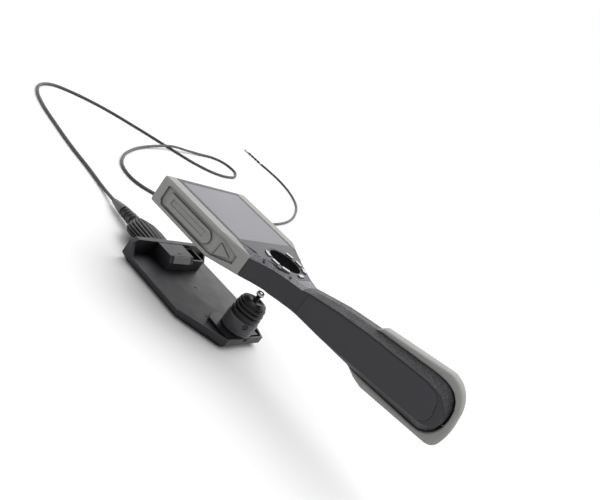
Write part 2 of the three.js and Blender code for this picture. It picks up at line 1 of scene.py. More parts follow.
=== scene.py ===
"""Looks of the inspection camera: a paddle display unit held over its probe module,
whose insertion tube lies in loops on the floor. Metres, +Z up, +Y towards the display's top end."""

import math

import bmesh
import bpy
from mathutils import Matrix, Vector


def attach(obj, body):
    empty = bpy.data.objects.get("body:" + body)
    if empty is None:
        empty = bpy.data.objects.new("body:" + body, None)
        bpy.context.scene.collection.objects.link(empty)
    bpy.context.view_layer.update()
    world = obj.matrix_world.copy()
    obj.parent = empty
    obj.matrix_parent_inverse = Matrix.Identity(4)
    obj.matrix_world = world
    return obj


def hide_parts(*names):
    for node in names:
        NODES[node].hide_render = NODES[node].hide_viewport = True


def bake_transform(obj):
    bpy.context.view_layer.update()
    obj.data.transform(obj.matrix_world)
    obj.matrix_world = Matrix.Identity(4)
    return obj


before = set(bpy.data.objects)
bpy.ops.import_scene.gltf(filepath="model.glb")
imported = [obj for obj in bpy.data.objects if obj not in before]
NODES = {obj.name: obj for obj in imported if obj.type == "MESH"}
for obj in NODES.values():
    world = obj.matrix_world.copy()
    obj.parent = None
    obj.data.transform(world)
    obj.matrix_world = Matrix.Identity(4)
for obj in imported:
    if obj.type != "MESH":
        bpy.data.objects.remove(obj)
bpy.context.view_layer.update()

# ---- sizes shared with the CAD source, in millimetres ----
MM = 0.001
ORIGIN_Y = 127.44
FRONT_Z = 105.0
STICK = (0.0, -130.0)
BOOT_START = (-18.0, 0.3, 18.5)
SLEEVE_END = (3.0, 103.0, 6.5)
TUBE_R = 2.25
TUBE_REST = TUBE_R + 0.05
TUBE_GAP = 0.3
TIP = (728.0, 421.0)
LINK_LENGTH = 10.2
LINK_GAP = 0.4
LINK_FACE_R = 0.76
COLLAR_LENGTH = 6.0
# The lying tube as (x, y), with a height where it leaves the floor.
ROUTE = [
    (11, 134, 3.1), (19, 178, 2.4), (26, 235), (36, 290), (48, 345), (64, 388), (90, 424), (128, 444),
    (172, 439), (222, 417), (272, 377), (319, 333), (354, 302), (394, 284), (440, 282),
    (482, 295), (508, 322), (500, 347), (468, 356, 2.4), (424, 351, 2.8), (372, 343, 4.8), (319, 333, 7.8),
    (268, 320, 4.8), (226, 305, 2.7), (178, 280, 2.4), (134, 248), (105, 212), (100, 178), (118, 153),
    (156, 140), (230, 130), (330, 124), (430, 133), (520, 158), (600, 197), (665, 243),
    (710, 298), (730, 350), (731, 390), (TIP[0], TIP[1] - COLLAR_LENGTH - 2 * TUBE_GAP),
]


def floor_point(x, y, z=TUBE_REST):
    """A point drawn from the display's top end, at a height over the floor, in the row frame."""
    return Vector((x, y + ORIGIN_Y, z)) * MM


def front_point(x, y, z):
    """A point drawn from the display's front plane, in the row frame."""
    return Vector((x, y + ORIGIN_Y, z + FRONT_Z)) * MM


# ---- camera ----
CAMERA_AT = (-0.5707, -0.2680, 0.2893)
CAMERA_RIGHT = Vector((0.4699, -0.6613, 0.5847))
CAMERA_AHEAD = Vector((0.8802, 0.4011, -0.2539))
CAMERA_LENS = 38.4
CAMERA_SENSOR = 36.0


def make_camera():
    data = bpy.data.cameras.new("photo_camera")
    data.sensor_width = CAMERA_SENSOR
    data.lens = CAMERA_LENS
    data.clip_end = 60
    camera = bpy.data.objects.new("photo_camera", data)
    bpy.context.scene.collection.objects.link(camera)
    ahead = CAMERA_AHEAD.normalized()
    right = (CAMERA_RIGHT - ahead * CAMERA_RIGHT.dot(ahead)).normalized()
    up = right.cross(ahead)
    turn = Matrix((right, up, -ahead)).transposed().to_4x4()
    camera.matrix_world = Matrix.Translation(CAMERA_AT) @ turn
    bpy.context.scene.camera = camera


make_camera()


# ---- mesh helpers ----
def new_piece(name, points, faces, smooth=True):
    mesh = bpy.data.meshes.new(name)
    mesh.from_pydata([tuple(p) for p in points], [], faces)
    mesh.validate()
    mesh.update()
    for polygon in mesh.polygons:
        polygon.use_smooth = smooth
    obj = bpy.data.objects.new(name, mesh)
    bpy.context.scene.collection.objects.link(obj)
    return obj


def centripetal(points, steps):
    """Points along the centripetal Catmull-Rom curve through the given ones."""
    ends = [points[0] * 2 - points[1], *points, points[-1] * 2 - points[-2]]
    line = []
    for i in range(len(points) - 1):
        p0, p1, p2, p3 = ends[i:i + 4]
        d0, d1, d2 = (max((b - a).length, 1e-9) ** 0.5 for a, b in ((p0, p1), (p1, p2), (p2, p3)))
        m1 = ((p1 - p0) / d0 - (p2 - p0) / (d0 + d1) + (p2 - p1) / d1) * d1
        m2 = ((p2 - p1) / d1 - (p3 - p1) / (d1 + d2) + (p3 - p2) / d2) * d1
        for k in range(steps):
            t = k / steps
            a, b = 2 * t**3 - 3 * t**2 + 1, t**3 - 2 * t**2 + t
            c, d = -2 * t**3 + 3 * t**2, t**3 - t**2
            line.append(p1 * a + m1 * b + p2 * c + m2 * d)
    line.append(points[-1].copy())
    return line


def sweep(name, line, radius_at, sides, ends_closed=True):
    """Tube along a line. radius_at(i, angle) gives its radius; the UV map holds turns and metres."""
    up = Vector((0, 0, 1))
    points = []
    lengths = [0.0]
    for i, p in enumerate(line):
        ahead = (line[min(i + 1, len(line) - 1)] - line[max(i - 1, 0)]).normalized()
        across = ahead.cross(up).normalized()
        over = across.cross(ahead)
        if i:
            lengths.append(lengths[-1] + (p - line[i - 1]).length)
        for k in range(sides):
            angle = 2 * math.pi * k / sides
            out = across * math.cos(angle) + over * math.sin(angle)
            points.append(p + out * radius_at(i, angle))
    faces = []
    for i in range(len(line) - 1):
        for k in range(sides):
            a, b = i * sides + k, i * sides + (k + 1) % sides
            faces.append((a, b, b + sides, a + sides))
    if ends_closed:
        faces.append(tuple(range(sides))[::-1])
        faces.append(tuple(range((len(line) - 1) * sides, len(line) * sides)))
    obj = new_piece(name, points, faces)
    uv = obj.data.uv_layers.new(name="UVMap")
    for n, face in enumerate(obj.data.polygons):
        ring, k = divmod(n, sides)
        if ring >= len(line) - 1:
            continue
        corners = ((k, ring), (k + 1, ring), (k + 1, ring + 1), (k, ring + 1))
        for loop, (u, r) in zip(face.loop_indices, corners):
            uv.data[loop].uv = (u / sides, lengths[r])
    return obj


def turned(name, profile, place, sides=64):
    """Profile of (radius, height) pairs in millimetres turned about an upright axis at place(x, y, z)."""
    points, faces = [], []
    for r, z in profile:
        for k in range(sides):
            angle = 2 * math.pi * k / sides
            points.append(place(r * math.cos(angle), r * math.sin(angle), z))
    for i in range(len(profile) - 1):
        for k in range(sides):
            a, b = i * sides + k, i * sides + (k + 1) % sides
            faces.append((a, b, b + sides, a + sides))
    obj = new_piece(name, points, faces)
    close_mesh(obj)
    return obj


def close_mesh(obj):
    """Welds the points on the axis, closes open rims and turns every face outwards."""
    work = bmesh.new()
    work.from_mesh(obj.data)
    bmesh.ops.remove_doubles(work, verts=work.verts, dist=1e-7)
    rims = [e for e in work.edges if e.is_boundary]
    if rims:
        bmesh.ops.holes_fill(work, edges=rims, sides=0)
    bmesh.ops.recalc_face_normals(work, faces=work.faces)
    work.to_mesh(obj.data)
    work.free()


UNPAINTED = []


def add_piece(obj, body, material, replaces=()):
    """Says which body a new piece rides on and what it stands for; paint_pieces() gives its material."""
    UNPAINTED.append((obj, material))
    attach(obj, body)
    if replaces:
        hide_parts(*replaces)
    return obj


# ---- the insertion tube, first ----
def exit_line():
    start, end = floor_point(*BOOT_START), floor_point(*SLEEVE_END)
    return start, end, (end - start).normalized()


def make_tube():
    _, end, ahead = exit_line()
    exit_at = end + ahead * TUBE_GAP * MM
    stops = [exit_at, *[floor_point(*p) for p in ROUTE]]
    line = centripetal(stops, 12)
    tube = sweep("probe_tube", line, lambda i, angle: TUBE_R * MM, 20)
    add_piece(tube, "module", "tube_braid", ["insertion_tube"])
    length = sum((b - a).length for a, b in zip(line, line[1:]))
    return tube, exit_at, length, line


# ---- bending tip: ribbed links and the camera head with its lights ----
TIP_LINKS = 4
LINK_R = 2.15
HEAD_LENGTH = 14.0
RIBS = 5


def at_tip(x, y, z):
    """A point drawn upright, laid down at the tube's end so that its height runs along +Y."""
    return floor_point(TIP[0] + x, z, TUBE_REST - y)


def bending_links():
    links = []
    start = TIP[1] + TUBE_GAP
    for i in range(TIP_LINKS):
        end = start + LINK_LENGTH
        profile = [(0, start), (LINK_FACE_R, start), (LINK_R - 0.1, start + 1.3)]
        span = (LINK_LENGTH - 2.6) / RIBS
        for k in range(RIBS):
            z = start + 1.3 + k * span
            profile += [(LINK_R, z + 0.2), (LINK_R, z + span - 0.5), (LINK_R - 0.25, z + span - 0.35),
                        (LINK_R - 0.25, z + span - 0.05)]
        profile += [(LINK_R - 0.1, end - 1.3), (LINK_FACE_R, end), (0, end)]
        link = turned(f"ribbed_link_{i + 1}", profile, at_tip, 40)
        add_piece(link, f"link_{i + 1}", "tip_sheath", [f"bending_link_{i + 1}"])
        links.append(link)
        start = end + LINK_GAP
    return links, start


def flex_cores():
    """Near-round dark cores in the gaps between the tip's links, each one turning with the link in front."""
    cores = []
    first_end = TIP[1] + TUBE_GAP + LINK_LENGTH + LINK_GAP / 2
    gaps = [TIP[1]] + [first_end + i * (LINK_LENGTH + LINK_GAP) for i in range(TIP_LINKS)]
    bodies = [f"link_{i + 1}" for i in range(TIP_LINKS)] + ["tip_head"]
    for i, (middle, body) in enumerate(zip(gaps, bodies)):
        shape = [(0, -1.25), (0.66, -1.06), (1.06, -0.66), (1.2, -0.34), (1.13, -0.22),
                 (1.13, 0.22), (1.2, 0.34), (1.06, 0.66), (0.66, 1.06), (0, 1.25)]
        core = turned(f"flex_core_{i + 1}", [(r, middle + z) for r, z in shape], at_tip, 32)
        cores.append(add_piece(core, body, "tip_sheath"))
    return cores


def camera_head(start):
    end = start + HEAD_LENGTH
    r = TUBE_R
    profile = [
        (0, start), (LINK_FACE_R, start), (r - 0.15, start + 1.3), (r, start + 1.5), (r, start + 3.2),
        (r - 0.12, start + 3.3), (r - 0.12, start + 3.6), (r, start + 3.7), (r, end - 0.25), (r - 0.25, end),
        (1.5, end), (1.5, end - 1.4), (0, end - 1.4),
    ]
    barrel = add_piece(turned("tip_barrel", profile, at_tip), "tip_head", "chrome", ["camera_head"])
    rise = [(0, -1.1), (1.2, -1.1), (1.2, -0.4), (1.0, -0.3), (0.75, -0.32), (0.4, -0.22), (0, -0.2)]
    lens = turned("tip_lens", [(a, end + z) for a, z in rise], at_tip)
    add_piece(lens, "tip_head", "lens_glass", ["camera_window"])
    made = [barrel, lens]
    lights = 6
    for k in range(lights):
        angle = 2 * math.pi * (k + 0.5) / lights
        x, y = 1.86 * math.cos(angle), 1.86 * math.sin(angle)
        bulb = [(0, end - 0.1), (0.24, end - 0.1), (0.24, end), (0.15, end + 0.03), (0, end + 0.04)]
        light = turned(f"tip_light_{k + 1}", bulb, lambda a, b, z: at_tip(a + x, b + y, z), 20)
        made.append(add_piece(light, "tip_head", "light"))
    return made


def collar():
    end = TIP[1] - TUBE_GAP
    start = end - COLLAR_LENGTH
    r = TUBE_R
    profile = [(0, start), (r - 0.3, start), (r, start + 0.3), (r, end - 1.2), (r - 0.15, end - 1.1),
               (r - 0.15, end - 0.8), (r, end - 0.7), (r, end - 0.3), (r - 0.3, end), (0, end)]
    return add_piece(turned("tube_collar", profile, at_tip), "module", "chrome", ["tip_collar"])


tube, tube_exit, tube_length, tube_line = make_tube()
tip_links, head_start = bending_links()
collar()
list(flex_cores())
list(camera_head(head_start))
# ---- materials ----
def linear(*srgb):
    """An sRGB colour, 0 to 255, as the linear RGBA that a shader takes."""
    shares = [c / 255 for c in srgb]
    return tuple(c / 12.92 if c <= 0.04045 else ((c + 0.055) / 1.055) ** 2.4 for c in shares) + (1.0,)


# A Mix node's colour sockets: it has others of the same names for numbers and vectors.
COLOUR_A, COLOUR_B, COLOUR_RESULT = 6, 7, 2


class Paint:
    """A Principled material built up one layer of detail at a time, on coordinates in metres."""

    def __init__(self, name, colour, rough, metal=0.0, coat=0.0, specular=0.5):
        self.mat = bpy.data.materials.new(name)
        self.mat.use_nodes = True
        self.tree = self.mat.node_tree
        self.shader = self.tree.nodes["Principled BSDF"]
        self.shader.inputs["Metallic"].default_value = metal
        self.shader.inputs["Coat Weight"].default_value = coat
        self.shader.inputs["Coat Roughness"].default_value = 0.08
        self.shader.inputs["Specular IOR Level"].default_value = specular
        self.place = self.node("ShaderNodeTexCoord").outputs["Object"]
        self.colour = colour
        self.rough = rough
        self.normal = None

    def node(self, kind, **settings):
        made = self.tree.nodes.new(kind)
        for key, value in settings.items():
            setattr(made, key, value)
        return made

    def join(self, source, target):
        """Feeds target from a socket, or sets it where source is a plain value."""
        if isinstance(source, bpy.types.NodeSocket):
            self.tree.links.new(source, target)
        else:
            target.default_value = source

    def noise(self, scale, detail=3.0, stretch=(1, 1, 1), place=None):
        mapping = self.node("ShaderNodeMapping")
        mapping.inputs["Scale"].default_value = stretch
        self.join(place or self.place, mapping.inputs["Vector"])
        noise = self.node("ShaderNodeTexNoise")
        noise.inputs["Scale"].default_value = scale
        noise.inputs["Detail"].default_value = detail
        self.join(mapping.outputs[0], noise.inputs["Vector"])
        return noise.outputs["Fac"]

    def range(self, value, low, high, to_low, to_high):
        node = self.node("ShaderNodeMapRange")
        self.join(value, node.inputs["Value"])
        for key, number in (("From Min", low), ("From Max", high), ("To Min", to_low), ("To Max", to_high)):
            node.inputs[key].default_value = number
        return node.outputs["Result"]

    def math(self, operation, a, b=None):
        node = self.node("ShaderNodeMath", operation=operation)
        for socket, value in zip(node.inputs, (a, b)):
            if value is not None:
                self.join(value, socket)
        return node.outputs[0]

    def tint(self, amount, colour, mode="MIX"):
        """Mixes colour in by amount, a socket or a number."""
        mix = self.node("ShaderNodeMix", data_type="RGBA", blend_type=mode)
        self.join(amount, mix.inputs["Factor"])
        self.join(self.colour, mix.inputs[COLOUR_A])
        self.join(colour, mix.inputs[COLOUR_B])
        self.colour = mix.outputs[COLOUR_RESULT]
        return self

    def mottle(self, scale, spread, detail=4.0):
        """Lighter and darker patches, spread as a share of the colour's brightness."""
        bright = self.node("ShaderNodeHueSaturation")
        self.join(self.colour, bright.inputs["Color"])
        patches = self.range(self.noise(scale, detail), 0.3, 0.7, 1 - spread, 1 + spread)
        self.join(patches, bright.inputs["Value"])
        self.colour = bright.outputs[0]
        return self

    def smudge(self, scale, spread):
        wear = self.range(self.noise(scale, 5.0), 0.35, 0.65, -spread, spread)
        self.rough = self.math("ADD", self.rough, wear)
        return self

    def paint_crevice_shade(self, amount, reach=0.004):
        """Painted shade: darkens the colour in grooves and corners nearer than reach, in metres, by ambient
        occlusion.
        """
        shade = self.node("ShaderNodeAmbientOcclusion", samples=8)
        shade.inputs["Distance"].default_value = reach
        dark = self.range(shade.outputs["AO"], 0.35, 0.95, amount, 0.0)
        return self.tint(dark, (0.0, 0.0, 0.0, 1.0))

    def bump(self, height, depth, strength=1.0):
        """height is a socket from 0 to 1 and depth its size in metres."""
        node = self.node("ShaderNodeBump")
        node.inputs["Strength"].default_value = strength
        node.inputs["Distance"].default_value = depth
        self.join(height, node.inputs["Height"])
        if self.normal is not None:
            self.join(self.normal, node.inputs["Normal"])
        self.normal = node.outputs[0]
        return self

    def grain(self, scale, depth, detail=2.0):
        return self.bump(self.noise(scale, detail), depth)

    def done(self):
        self.join(self.colour, self.shader.inputs["Base Color"])
        self.join(self.rough, self.shader.inputs["Roughness"])
        if self.normal is not None:
            self.join(self.normal, self.shader.inputs["Normal"])
        return self.mat


def smooth_plastic(name, grey, rough=0.42):
    """Moulded housing: fine spark-eroded grain, faint handling smudges."""
    paint = Paint(name, linear(*grey), rough, specular=0.28).mottle(30, 0.05).smudge(60, 0.06)
    # Painted shade: the colour is darkened in grooves and corners within 4 mm.
    return paint.paint_crevice_shade(0.6).grain(2600, 0.00004).done()


def tray_plastic():
    """Moulded tray: satin, and dark where its walls and blocks shade it."""
    paint = Paint("tray_plastic", linear(60, 59, 63), 0.42, specular=0.25).mottle(30, 0.03).smudge(60, 0.05)
    return paint.paint_crevice_shade(0.88, 0.035).grain(2600, 0.00003).done()


def speckled_plastic():
    """The rim's coarser grain: light specks in a mid-grey moulding."""
    paint = Paint("speckled_rim", linear(88, 87, 92), 0.5, specular=0.3)
    specks = paint.range(paint.noise(1500, 1.0), 0.56, 0.66, 0, 0.75)
    pits = paint.range(paint.noise(1900, 1.0), 0.44, 0.36, 0, 0.6)
    paint.tint(specks, linear(170, 170, 174)).tint(pits, linear(60, 60, 64))
    return paint.mottle(40, 0.06).grain(1500, 0.00012, 1.0).done()


def textured_rubber():
    """Grip rubber with a leathery fine texture."""
    paint = Paint("grip_rubber", linear(62, 62, 64), 0.62, specular=0.4)
    cells = paint.node("ShaderNodeTexVoronoi", feature="DISTANCE_TO_EDGE")
    cells.inputs["Scale"].default_value = 750
    paint.join(paint.place, cells.inputs["Vector"])
    valley = paint.range(cells.outputs["Distance"], 0.0, 0.18, 0, 1)
    # Painted shade: the colour darkens towards near-black in the grain's valleys, where its creases would be
    # shaded.
    paint.tint(paint.range(valley, 0, 1, 0.85, 0.0), linear(22, 22, 24))
    glints = paint.range(paint.noise(1300, 1.0), 0.58, 0.66, 0, 0.5)
    paint.tint(glints, linear(120, 120, 124))
    return paint.mottle(25, 0.08).smudge(50, 0.08).bump(valley, 0.0002).grain(2500, 0.00003).done()


def bumper_rubber(name, grey, rough=0.6):
    """Matt elastomer: soft mottling, fingerprints and a faint orange peel."""
    paint = Paint(name, linear(*grey), rough, specular=0.35)
    # Painted shade: the colour is darkened in grooves and corners within 4 mm.
    paint.mottle(18, 0.04).mottle(400, 0.03).smudge(35, 0.08).paint_crevice_shade(0.75)
    return paint.grain(1800, 0.00005).grain(220, 0.00005).done()


def black_rubber(name="black_rubber", grey=(17, 17, 18)):
    paint = Paint(name, linear(*grey), 0.34, specular=0.35)
    # Painted shade: the colour is darkened in grooves and corners within 4 mm.
    return paint.mottle(60, 0.12).smudge(90, 0.1).paint_crevice_shade(0.8).grain(1600, 0.00004).done()


def metal(name, grey, rough, brushed=None):
    """Bare metal; brushed stretches fine scratches along the axis that it leaves at 1."""
    paint = Paint(name, linear(*grey), rough, metal=1.0)
    paint.mottle(80, 0.04)
    if brushed:
        lines = paint.noise(2500, 2.0, stretch=brushed)
        paint.rough = paint.math("ADD", paint.rough, paint.range(lines, 0.3, 0.7, -0.08, 0.12))
        paint.bump(lines, 0.00001)
    return paint.smudge(120, 0.05).done()


def screen_glass():
    """Black glass with the lit LCD behind it, a pale lavender sheet with a soft diagonal sheen."""
    paint = Paint("screen_glass", linear(46, 45, 50), 0.22, specular=0.12)
    split = paint.node("ShaderNodeSeparateXYZ")
    paint.join(paint.place, split.inputs[0])
    x, y = split.outputs["X"], split.outputs["Y"]
    half, top, bottom = 49.6 * MM, (ORIGIN_Y - 6.5) * MM, (ORIGIN_Y - 99.5) * MM
    inside_x = paint.math("LESS_THAN", paint.math("ABSOLUTE", x), half)
    inside_y = paint.math("MULTIPLY", paint.math("LESS_THAN", y, top), paint.math("GREATER_THAN", y, bottom))
    inside = paint.math("MULTIPLY", inside_x, inside_y)
    paint.tint(inside, linear(104, 103, 109))
    sheen = paint.math("ADD", paint.math("MULTIPLY", x, 5.0), paint.math("MULTIPLY", y, -4.0))
    sheen = paint.math("MULTIPLY", paint.range(sheen, -0.35, 0.35, 0.0, 0.5), inside)
    paint.tint(sheen, linear(76, 76, 82))
    return paint.smudge(25, 0.03).done()


def braided_sheath():
    """Woven sheath of the insertion tube: crossing strands that follow the tube."""
    paint = Paint("tube_braid", linear(58, 58, 60), 0.45, specular=0.5)
    uv = paint.node("ShaderNodeUVMap", uv_map="UVMap").outputs[0]
    split = paint.node("ShaderNodeSeparateXYZ")
    paint.join(uv, split.inputs[0])
    strands, pitch = 10.0, 0.006
    around = paint.math("MULTIPLY", split.outputs["X"], 2 * math.pi * strands)
    ahead = paint.math("MULTIPLY", split.outputs["Y"], 2 * math.pi / pitch)
    one = paint.math("SINE", paint.math("ADD", around, ahead))
    two = paint.math("SINE", paint.math("SUBTRACT", around, ahead))
    weave = paint.range(paint.math("MULTIPLY", one, two), -1, 1, 0, 1)
    paint.tint(paint.range(weave, 0.2, 0.8, 0.55, 0.0), linear(28, 28, 30))
    return paint.mottle(30, 0.08).smudge(60, 0.08).bump(weave, 0.00025).done()


def circuit_board():
    paint = Paint("board", linear(24, 74, 48), 0.35, coat=0.3)
    tracks = paint.range(paint.noise(420, 0.0, stretch=(1, 0.12, 1)), 0.5, 0.54, 0, 0.6)
    paint.tint(tracks, linear(40, 104, 68))
    return paint.grain(900, 0.00002).done()


def glow(name, colour, strength):
    paint = Paint(name, linear(*colour), 0.3)
    paint.shader.inputs["Emission Color"].default_value = linear(*colour)
    paint.shader.inputs["Emission Strength"].default_value = strength
    return paint.done()


MATERIALS = {
    "dark_plastic": smooth_plastic("dark_plastic", (46, 45, 49)),
    "side_panel": smooth_plastic("side_panel", (50, 49, 54), 0.38),
    "tray_plastic": tray_plastic(),
    "satin_black": smooth_plastic("satin_black", (72, 71, 74), 0.26),
    "tip_sheath": smooth_plastic("tip_sheath", (40, 40, 41), 0.45),
    "black_plastic": smooth_plastic("black_plastic", (30, 30, 31), 0.32),
    "grey_plastic": smooth_plastic("grey_plastic", (138, 137, 141), 0.4),
    "sleeve_plastic": smooth_plastic("sleeve_plastic", (84, 84, 87), 0.38),
    "speckled_rim": speckled_plastic(),
    "grip_rubber": textured_rubber(),
    "bumper_rubber": bumper_rubber("bumper_rubber", (133, 133, 131)),
    "cover_rubber": bumper_rubber("cover_rubber", (128, 128, 126), 0.55),
    "black_rubber": black_rubber(),
    "screen_glass": screen_glass(),
    "lens_glass": Paint("lens_glass", linear(14, 16, 26), 0.05, coat=1.0).mottle(900, 0.2).done(),
    "lcd": Paint("lcd", linear(108, 107, 114), 0.2).mottle(40, 0.03).smudge(40, 0.04).done(),
    "steel": metal("steel", (160, 160, 164), 0.34, brushed=(1, 0.05, 1)),
    "chrome": metal("chrome", (205, 205, 210), 0.14),
    "key_metal": metal("key_metal", (168, 168, 173), 0.26),
    "dark_steel": metal("dark_steel", (66, 66, 69), 0.32),
    "gloss_black": Paint("gloss_black", linear(20, 20, 21), 0.2, specular=0.2).mottle(60, 0.1).done(),
    "contacts": metal("contacts", (196, 164, 96), 0.25),
    "board": circuit_board(),
    "battery_case": smooth_plastic("battery_case", (44, 48, 58), 0.4),
    "tube_braid": braided_sheath(),
    "light": glow("light", (255, 250, 235), 1.5),
}


# ---- the CAD nodes that show as they are ----
NODE_FINISH = {
    "rear_housing": "dark_plastic", "bezel": "speckled_rim", "grip_front": "grip_rubber",
    "bumper_left": "bumper_rubber", "bumper_right": "bumper_rubber",
    "release_button_left": "cover_rubber", "release_button_right": "cover_rubber",
    "port_cover_left": "cover_rubber", "port_cover_right": "cover_rubber",
    "port_block_left": "steel", "port_block_right": "steel",
    "grip_panel_left": "side_panel", "grip_panel_right": "side_panel",
    "screen_glass": "screen_glass", "lcd_panel": "lcd", "main_board": "board", "dock_contacts": "contacts",
    "joystick_well": "black_plastic", "end_bumper": "bumper_rubber", "battery_pack": "battery_case",
    "battery_contacts": "contacts", "module_tray": "tray_plastic", "connector_block": "tray_plastic",
    "connector_plate": "grey_plastic", "connector_socket": "black_plastic", "socket_pins": "contacts",
    "joystick_base": "black_plastic", "joystick_turret": "black_plastic", "turret_screw": "steel",
    "gimbal_ring": "steel", "bellows": "black_rubber", "joystick_stalk": "black_plastic",
    "joystick_cap": "chrome", "boot": "black_rubber", "boot_neck": "black_rubber", "sleeve": "sleeve_plastic",
    "camera_head": "chrome", "camera_window": "lens_glass", "tip_collar": "chrome",
}
ROUNDING = {
    "rear_housing": 0.8, "bezel": 0.5, "grip_front": 1.0, "bumper_left": 0.5, "bumper_right": 0.5,
    "end_bumper": 1.5, "module_tray": 0.7, "connector_block": 0.6, "grip_panel_left": 0.4,
    "grip_panel_right": 0.4, "port_cover_left": 0.4, "port_cover_right": 0.4,
}
EDGE_ANGLE = 20


def finish_nodes():
    for name, node in NODES.items():
        slot = NODE_FINISH.get(name)
        if slot is None:
            slot = "key_metal" if name.startswith("key") else "dark_steel"
        node.data.materials.clear()
        node.data.materials.append(MATERIALS[slot])
        weld = node.modifiers.new("weld", "WELD")
        weld.merge_threshold = 1e-5
        bevel = node.modifiers.new("edges", "BEVEL")
        bevel.width = ROUNDING.get(name, 0.25) * MM
        bevel.segments = 2
        bevel.limit_method = "ANGLE"
        bevel.angle_limit = math.radians(EDGE_ANGLE)
        bevel.use_clamp_overlap = True
        for polygon in node.data.polygons:
            polygon.use_smooth = True
        normals = node.modifiers.new("normals", "WEIGHTED_NORMAL")
        normals.keep_sharp = True


finish_nodes()




# ---- pieces that stand for the plainer CAD solids ----
def soften(obj, width, angle=30, segments=3):
    bevel = obj.modifiers.new("edges", "BEVEL")
    bevel.width = width * MM
    bevel.segments = segments
    bevel.limit_method = "ANGLE"
    bevel.angle_limit = math.radians(angle)
    normals = obj.modifiers.new("normals", "WEIGHTED_NORMAL")
    normals.keep_sharp = True
    return obj


def skin_rings(name, rings, smooth=True):
    """Skin over matching rings of points, with a flat cap on the first and the last."""
    count = len(rings[0])
    points = [p for ring in rings for p in ring]
    faces = []
    for r in range(len(rings) - 1):
        for i in range(count):
            a, b = r * count + i, r * count + (i + 1) % count
            faces.append((a, b, b + count, a + count))
    faces.append(tuple(range(count)))
    faces.append(tuple(range(len(points) - count, len(points))))
    obj = new_piece(name, points, faces, smooth)
    close_mesh(obj)
    return obj


def read_table(table, t):
    """Value at t on straight lines between (t, value) pairs in rising order."""
    if t <= table[0][0]:
        return table[0][1]
    for (ta, a), (tb, b) in zip(table, table[1:]):
        if t <= tb:
            share = (t - ta) / (tb - ta)
            return a + (b - a) * share
    return table[-1][1]


def rounded_outline(corners, steps=10):
    """Points through (a, b, radius) corners, each corner rounded by a curve."""
    outline = []
    for i, (x, y, *rest) in enumerate(corners):
        radius = rest[0] if rest else 0
        corner = Vector((x, y))
        if not radius:
            outline.append(corner)
            continue
        back = (Vector(corners[i - 1][:2]) - corner).normalized()
        ahead = (Vector(corners[(i + 1) % len(corners)][:2]) - corner).normalized()
        reach = radius / math.tan(math.acos(max(-1, min(1, back.dot(ahead)))) / 2)
        first, last = corner + back * reach, corner + ahead * reach
        for k in range(steps + 1):
            t = k / steps
            outline.append(first * (1 - t) ** 2 + corner * 2 * t * (1 - t) + last * t * t)
    return outline


def spaced(line, count):
    """The open line again, as count points at equal distances."""
    lengths = [0.0]
    for a, b in zip(line, line[1:]):
        lengths.append(lengths[-1] + (b - a).length)
    spread = []
    k = 0
    for i in range(count):
        at = lengths[-1] * i / (count - 1)
        while k < len(line) - 2 and lengths[k + 1] < at:
            k += 1
        share = (at - lengths[k]) / max(lengths[k + 1] - lengths[k], 1e-9)
        spread.append(line[k].lerp(line[k + 1], min(1.0, share)))
    return spread


# ---- end bumper: one soft band, rounded across, round the handle's end ----
BAND_HALF = 9.0
BAND_OUTSIDE = [
    (-250, 17.6), (-255.5, 24, 2.5), (-329, 37, 14), (-344, 33.5, 28), (-354.5, 17, 38), (-359.5, -8, 60),
    (-356.5, -27.5, 11), (-273, -35.5, 3), (-262, -33, 3), (-250, -27),
]
BAND_INSIDE = [
    (-250, 17.5), (-318, 26.6, 10), (-330, 26.9, 6), (-338.5, 24.6, 5), (-344.5, 20, 5), (-348.8, 13, 5),
    (-350.6, 4, 6), (-350.2, -6, 6), (-347.5, -13, 5), (-343, -18.8, 5), (-337, -22, 5), (-329, -23.2, 8),
    (-250, -26.9),
]
SEAM_AT = 0.53
SEAL_HALF = 6.5
SEAL_DEPTH = 5.0
SEAL_CLEAR = 0.1


def end_bumper():
    stations = 150
    outside = spaced(rounded_outline(BAND_OUTSIDE), stations)
    inside = spaced(rounded_outline(BAND_INSIDE), stations)
    rings = []
    across = 28
    for i, (far, near) in enumerate(zip(outside, inside)):
        share = i / (stations - 1)
        notch = 0.5 * math.exp(-((share - SEAM_AT) * stations / 0.9) ** 2)
        ring = []
        for k in range(across):
            angle = 2 * math.pi * k / across
            c, s = math.cos(angle), math.sin(angle)
            out = 0.5 + 0.5 * math.copysign(abs(c) ** 0.55, c)
            x = math.copysign(abs(s) ** 0.62, s) * (BAND_HALF - notch)
            y, z = near.lerp(far, out * (1 - 0.03 * notch))
            ring.append(front_point(x, y, z))
        rings.append(ring)
    band = skin_rings("end_bumper_band", rings)
    return add_piece(band, "display", "bumper_rubber", ["end_bumper"])


def end_seal():
    """Dark rubber lip that closes the gap between the handle's end and its bumper."""
    lip = rounded_outline(BAND_INSIDE)
    stations = 120
    outside = spaced(lip, stations)
    middle = Vector((-290, 1))
    rings = []
    for p in outside:
        inward = (middle - p).normalized()
        near, far = p + inward * SEAL_DEPTH, p + inward * SEAL_CLEAR
        ring = [(-SEAL_HALF, near), (-SEAL_HALF, far), (SEAL_HALF, far), (SEAL_HALF, near)]
        rings.append([front_point(x, q.x, q.y) for x, q in ring])
    return add_piece(skin_rings("handle_end_seal", rings), "display", "black_rubber")


end_bumper()
end_seal()


# ---- strain relief: fluted boot, slotted neck and smooth sleeve ----
NECK_FROM = 46.3
NECK_PITCH = 6.4
SLEEVE_FROM = 78.6


